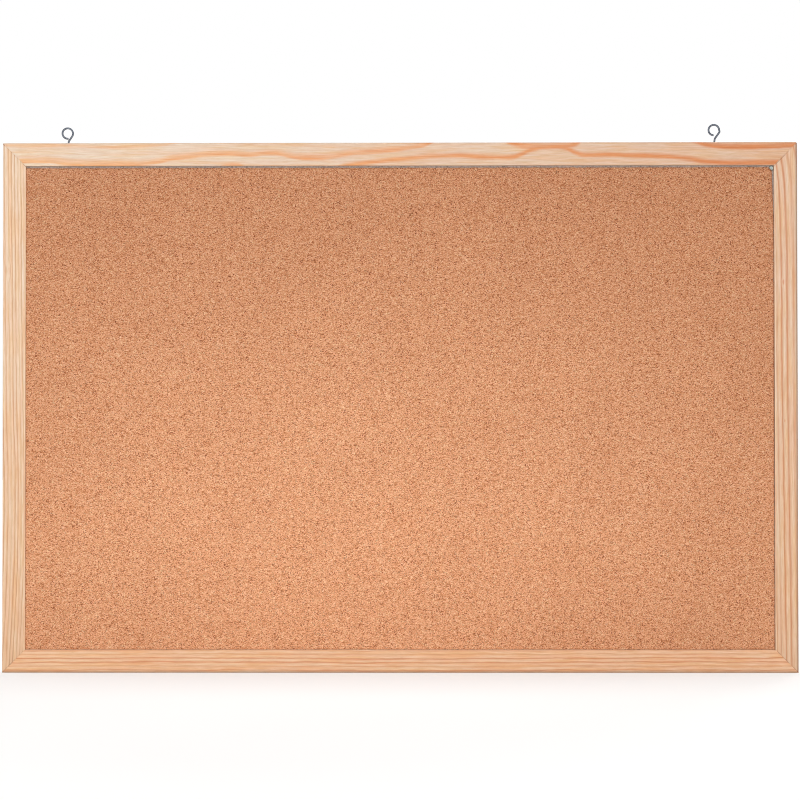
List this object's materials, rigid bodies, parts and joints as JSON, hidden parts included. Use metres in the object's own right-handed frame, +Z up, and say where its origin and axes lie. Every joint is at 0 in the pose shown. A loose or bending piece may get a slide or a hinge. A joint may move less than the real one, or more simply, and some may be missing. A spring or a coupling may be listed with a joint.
{
  "type": "cork bulletin board",
  "caption": "Rectangular cork pinning board in a mitred pine frame, with wire screw eyes in the top rail for hanging.",
  "frame": {"origin": "midway along the board's bottom edge, at half the frame's depth", "axes": "+X to the viewer's right, +Y from the cork face to the wall, +Z up"},
  "size_m": [0.6, 0.015, 0.4147],
  "materials": {
    "pine": "satin",
    "cork": "matte",
    "core": "matte",
    "hardboard": "matte",
    "fastener_steel": "satin",
    "zinc_steel": "satin"
  },
  "bodies": {
    "board": {"top_rail": "pine", "bottom_rail": "pine", "left_stile": "pine", "right_stile": "pine", "cork_sheet": "cork", "core_board": "core", "back_board": "hardboard", "v_nail_top_left_outer": "fastener_steel", "v_nail_top_left_inner": "fastener_steel", "v_nail_top_right_outer": "fastener_steel", "v_nail_top_right_inner": "fastener_steel", "v_nail_bottom_left_outer": "fastener_steel", "v_nail_bottom_left_inner": "fastener_steel", "v_nail_bottom_right_outer": "fastener_steel", "v_nail_bottom_right_inner": "fastener_steel", "panel_point_top_1": "fastener_steel", "panel_point_top_2": "fastener_steel", "panel_point_top_3": "fastener_steel", "panel_point_top_4": "fastener_steel", "panel_point_bottom_1": "fastener_steel", "panel_point_bottom_2": "fastener_steel", "panel_point_bottom_3": "fastener_steel", "panel_point_bottom_4": "fastener_steel", "panel_point_left_1": "fastener_steel", "panel_point_left_2": "fastener_steel", "panel_point_left_3": "fastener_steel", "panel_point_right_1": "fastener_steel", "panel_point_right_2": "fastener_steel", "panel_point_right_3": "fastener_steel"},
    "left_eye": {"left_screw_eye": "zinc_steel"},
    "right_eye": {"right_screw_eye": "zinc_steel"}
  },
  "joints": [
    {"name": "left_eye_turn", "type": "hinge", "parent": "board", "child": "left_eye", "pos_m": [-0.2514, 0, 0.4], "axis": [0, 0, 1], "range_deg": [-90, 90]},
    {"name": "right_eye_turn", "type": "hinge", "parent": "board", "child": "right_eye", "pos_m": [0.2385, 0, 0.4], "axis": [0, 0, 1], "range_deg": [-90, 90]}
  ]
}
